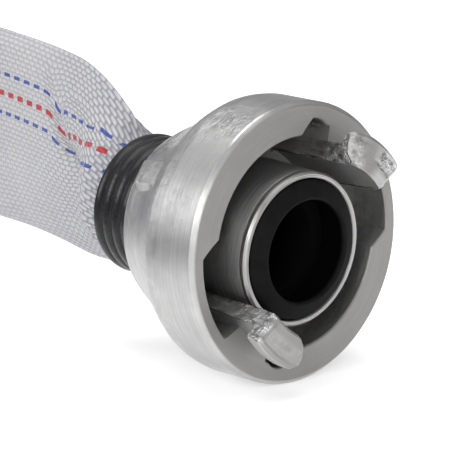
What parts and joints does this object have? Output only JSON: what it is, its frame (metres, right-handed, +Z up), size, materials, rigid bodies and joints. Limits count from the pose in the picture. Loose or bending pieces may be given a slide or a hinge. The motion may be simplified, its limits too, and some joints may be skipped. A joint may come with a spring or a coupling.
{
  "type": "rolled fire hose",
  "caption": "Woven layflat fire hose wound into a flat roll, with a symmetric lug coupling on each end and a strap round the roll.",
  "frame": {"origin": "centre of the whole object's footprint, on the surface it lies on", "axes": "+Z up, along the roll's own axis; +X the way the near coupling's mouth looks; +Y to the side of the roll that the near coupling is on"},
  "size_m": [0.4964, 0.4946, 0.0587],
  "materials": {
    "cast_alloy": "cast and turned, brushed band",
    "turned_alloy": "turned",
    "spring_steel": "drawn wire",
    "binding_wire": "soft drawn wire",
    "seal_rubber": "matte moulded",
    "hose_lining": "matte",
    "binding_sleeve": "satin, drawn tight over the wire",
    "woven_jacket": "plain weave with one red and two blue tracer yarns",
    "tie_webbing": "woven strap"
  },
  "bodies": {
    "hose": {"near_hose_tail": "turned_alloy", "near_gasket": "seal_rubber", "near_snap_ring": "spring_steel", "near_lining_cuff": "hose_lining", "near_jacket_cuff": "woven_jacket", "near_binding_wire": "binding_wire", "near_binding_sleeve": "binding_sleeve", "far_hose_tail": "turned_alloy", "far_gasket": "seal_rubber", "far_snap_ring": "spring_steel", "far_lining_cuff": "hose_lining", "far_jacket_cuff": "woven_jacket", "far_binding_wire": "binding_wire", "far_binding_sleeve": "binding_sleeve", "hose_near_stretch": "woven_jacket", "hose_far_stretch": "woven_jacket", "hose_roll": "woven_jacket", "tie_strap": "tie_webbing"},
    "near_ring": {"near_lug_ring": "cast_alloy"},
    "far_ring": {"far_lug_ring": "cast_alloy"}
  },
  "joints": [
    {"name": "near_ring_spin", "type": "hinge", "parent": "hose", "child": "near_ring", "pos_m": [0.23922, 0.21983, 0.0275], "axis": [1, 0, 0], "continuous": true},
    {"name": "far_ring_spin", "type": "hinge", "parent": "hose", "child": "far_ring", "pos_m": [-0.05078, 0.0226, 0.0275], "axis": [-1, 0, 0], "continuous": true}
  ]
}
